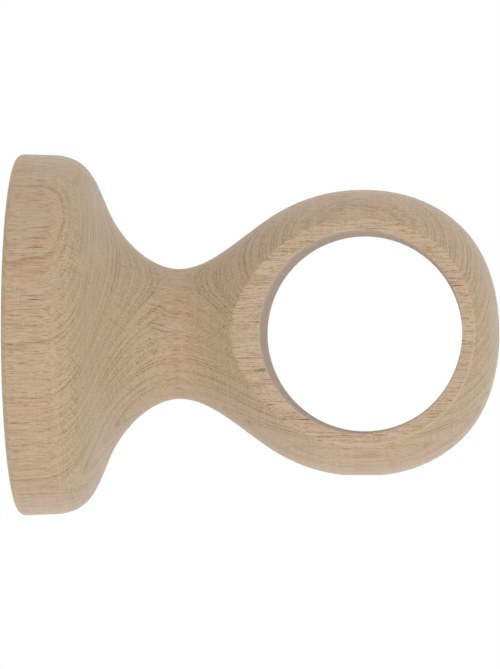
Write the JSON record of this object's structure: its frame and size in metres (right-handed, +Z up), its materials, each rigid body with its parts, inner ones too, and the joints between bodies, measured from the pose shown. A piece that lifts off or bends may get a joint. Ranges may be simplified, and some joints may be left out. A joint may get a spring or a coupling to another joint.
{
  "type": "curtain pole bracket",
  "caption": "Turned beech wall bracket with a flared round base, waisted neck and ball-shaped ring bored for a curtain pole, which screws onto a stud on a hidden wall plate.",
  "frame": {"origin": "centre of the wall plane, on the axis of the turned bracket and of its stud", "axes": "+X out from the wall along the turned axis, +Y along the pole, +Z up"},
  "size_m": [0.0737, 0.0554, 0.0554],
  "materials": {
    "beech": "raw, turned and sanded, unfinished",
    "zinc_plated_steel": "bright zinc plating over rolled steel",
    "zinc_alloy": "plain zinc alloy casting",
    "brass": "turned brass",
    "blackened_steel": "black oxide",
    "fibre": "red-brown vulcanised fibre"
  },
  "bodies": {
    "wall_mount": {"wall_plate": "zinc_plated_steel", "mounting_stud": "zinc_plated_steel"},
    "washer": {"packing_washer": "fibre"},
    "bracket": {"bracket_body": "beech", "threaded_insert": "zinc_alloy", "set_screw_bush": "brass"},
    "set_screw": {"pole_set_screw": "blackened_steel"}
  },
  "joints": [
    {"name": "bracket_advance", "type": "slide", "parent": "wall_mount", "child": "washer", "axis": [1, 0, 0], "range_m": [0, 0.012]},
    {"name": "bracket_turn", "type": "hinge", "parent": "washer", "child": "bracket", "pos_m": [0, 0, 0], "axis": [1, 0, 0], "range_deg": [0, 4320]},
    {"name": "set_screw_feed", "type": "slide", "parent": "bracket", "child": "set_screw", "axis": [0, 0, 1], "range_m": [0, 0.0026]}
  ],
  "couplings": [
    {"joint": "bracket_advance", "follows": "bracket_turn", "m_per_rad": 0.00015915}
  ]
}
